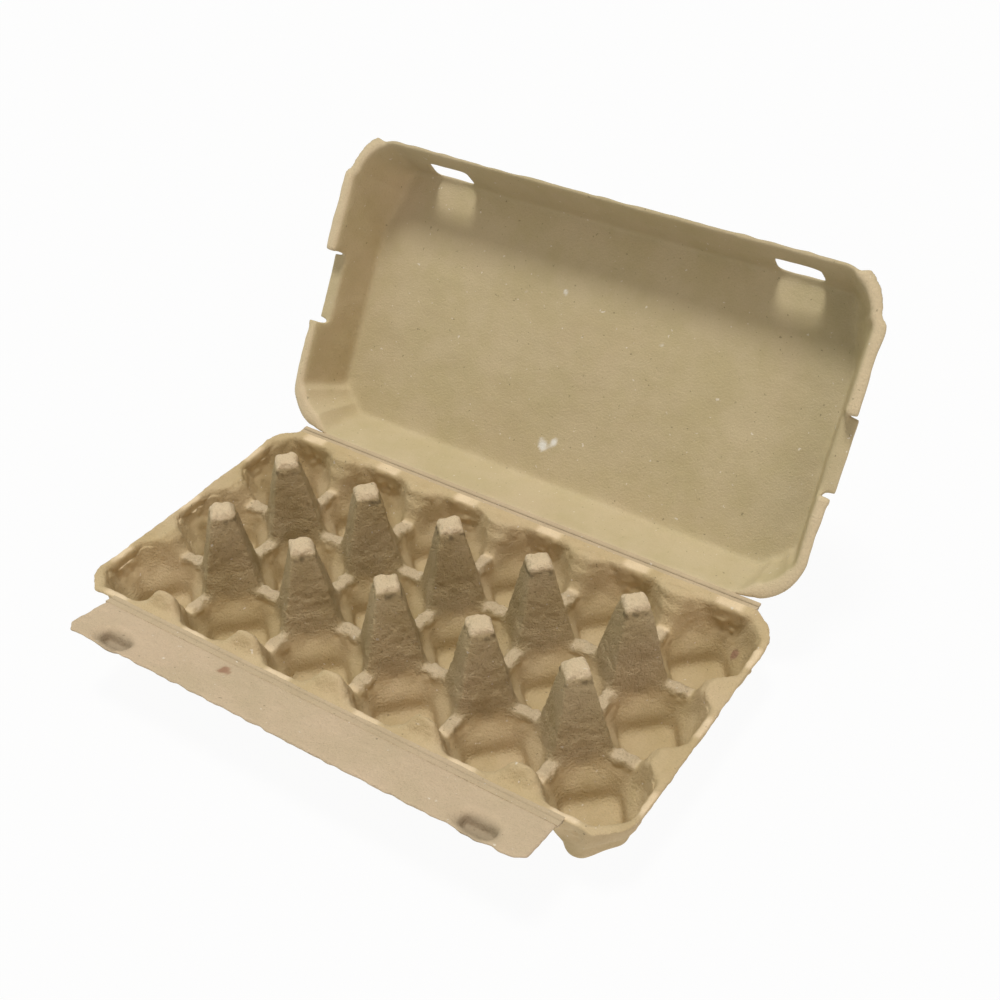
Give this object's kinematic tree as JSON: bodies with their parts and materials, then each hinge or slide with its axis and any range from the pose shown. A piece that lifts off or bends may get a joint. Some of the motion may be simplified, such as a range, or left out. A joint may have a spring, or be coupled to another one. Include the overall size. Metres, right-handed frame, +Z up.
{
  "type": "egg carton",
  "caption": "Open moulded-pulp egg carton: cell tray with divider posts, hinged lid with latch slots, and a fold-out latch flap with buttons.",
  "frame": {"origin": "middle of the cup bottoms, on the table, under the saddle between the two middle cells", "axes": "+X along the carton to the right as seen from the latch side, +Y from the latch to the lid hinge, +Z up"},
  "size_m": [0.29, 0.2795, 0.1673],
  "materials": {
    "pulp_tray": "matte",
    "pulp_lid": "matte",
    "pulp_latch": "matte",
    "pulp_crease": "matte"
  },
  "bodies": {
    "tray": {"cup_row1_col1": "pulp_tray", "cup_row1_col2": "pulp_tray", "cup_row1_col3": "pulp_tray", "cup_row1_col4": "pulp_tray", "cup_row1_col5": "pulp_tray", "cup_row1_col6": "pulp_tray", "cup_row2_col1": "pulp_tray", "cup_row2_col2": "pulp_tray", "cup_row2_col3": "pulp_tray", "cup_row2_col4": "pulp_tray", "cup_row2_col5": "pulp_tray", "cup_row2_col6": "pulp_tray", "cup_row3_col1": "pulp_tray", "cup_row3_col2": "pulp_tray", "cup_row3_col3": "pulp_tray", "cup_row3_col4": "pulp_tray", "cup_row3_col5": "pulp_tray", "cup_row3_col6": "pulp_tray", "post_row1_1": "pulp_tray", "post_row1_2": "pulp_tray", "post_row1_3": "pulp_tray", "post_row1_4": "pulp_tray", "post_row1_5": "pulp_tray", "post_row2_1": "pulp_tray", "post_row2_2": "pulp_tray", "post_row2_3": "pulp_tray", "post_row2_4": "pulp_tray", "post_row2_5": "pulp_tray", "front_wall": "pulp_tray", "back_wall": "pulp_tray", "left_end_wall": "pulp_tray", "right_end_wall": "pulp_tray", "corner_walls": "pulp_tray", "front_ribs": "pulp_tray", "back_ribs": "pulp_tray", "left_end_ribs": "pulp_tray", "right_end_ribs": "pulp_tray", "front_rim": "pulp_tray", "back_rim": "pulp_tray", "left_end_rim": "pulp_tray", "right_end_rim": "pulp_tray", "lid_crease": "pulp_crease", "latch_crease": "pulp_crease"},
    "lid": {"lid_panel": "pulp_lid", "lid_front_wall": "pulp_lid", "lid_back_wall": "pulp_lid", "lid_left_wall": "pulp_lid", "lid_right_wall": "pulp_lid", "lid_corners": "pulp_lid", "lid_left_rim": "pulp_lid", "lid_right_rim": "pulp_lid"},
    "latch_flap": {"latch_panel": "pulp_latch", "latch_button_left": "pulp_latch", "latch_button_right": "pulp_latch"}
  },
  "joints": [
    {"name": "lid_hinge", "type": "hinge", "parent": "tray", "child": "lid", "pos_m": [0, 0.0751, 0.034], "axis": [-1, 0, 0], "range_deg": [-120.55, 59.4]},
    {"name": "latch_hinge", "type": "hinge", "parent": "tray", "child": "latch_flap", "pos_m": [0, -0.0751, 0.034], "axis": [-1, 0, 0], "range_deg": [-100.7, 95.4]}
  ]
}
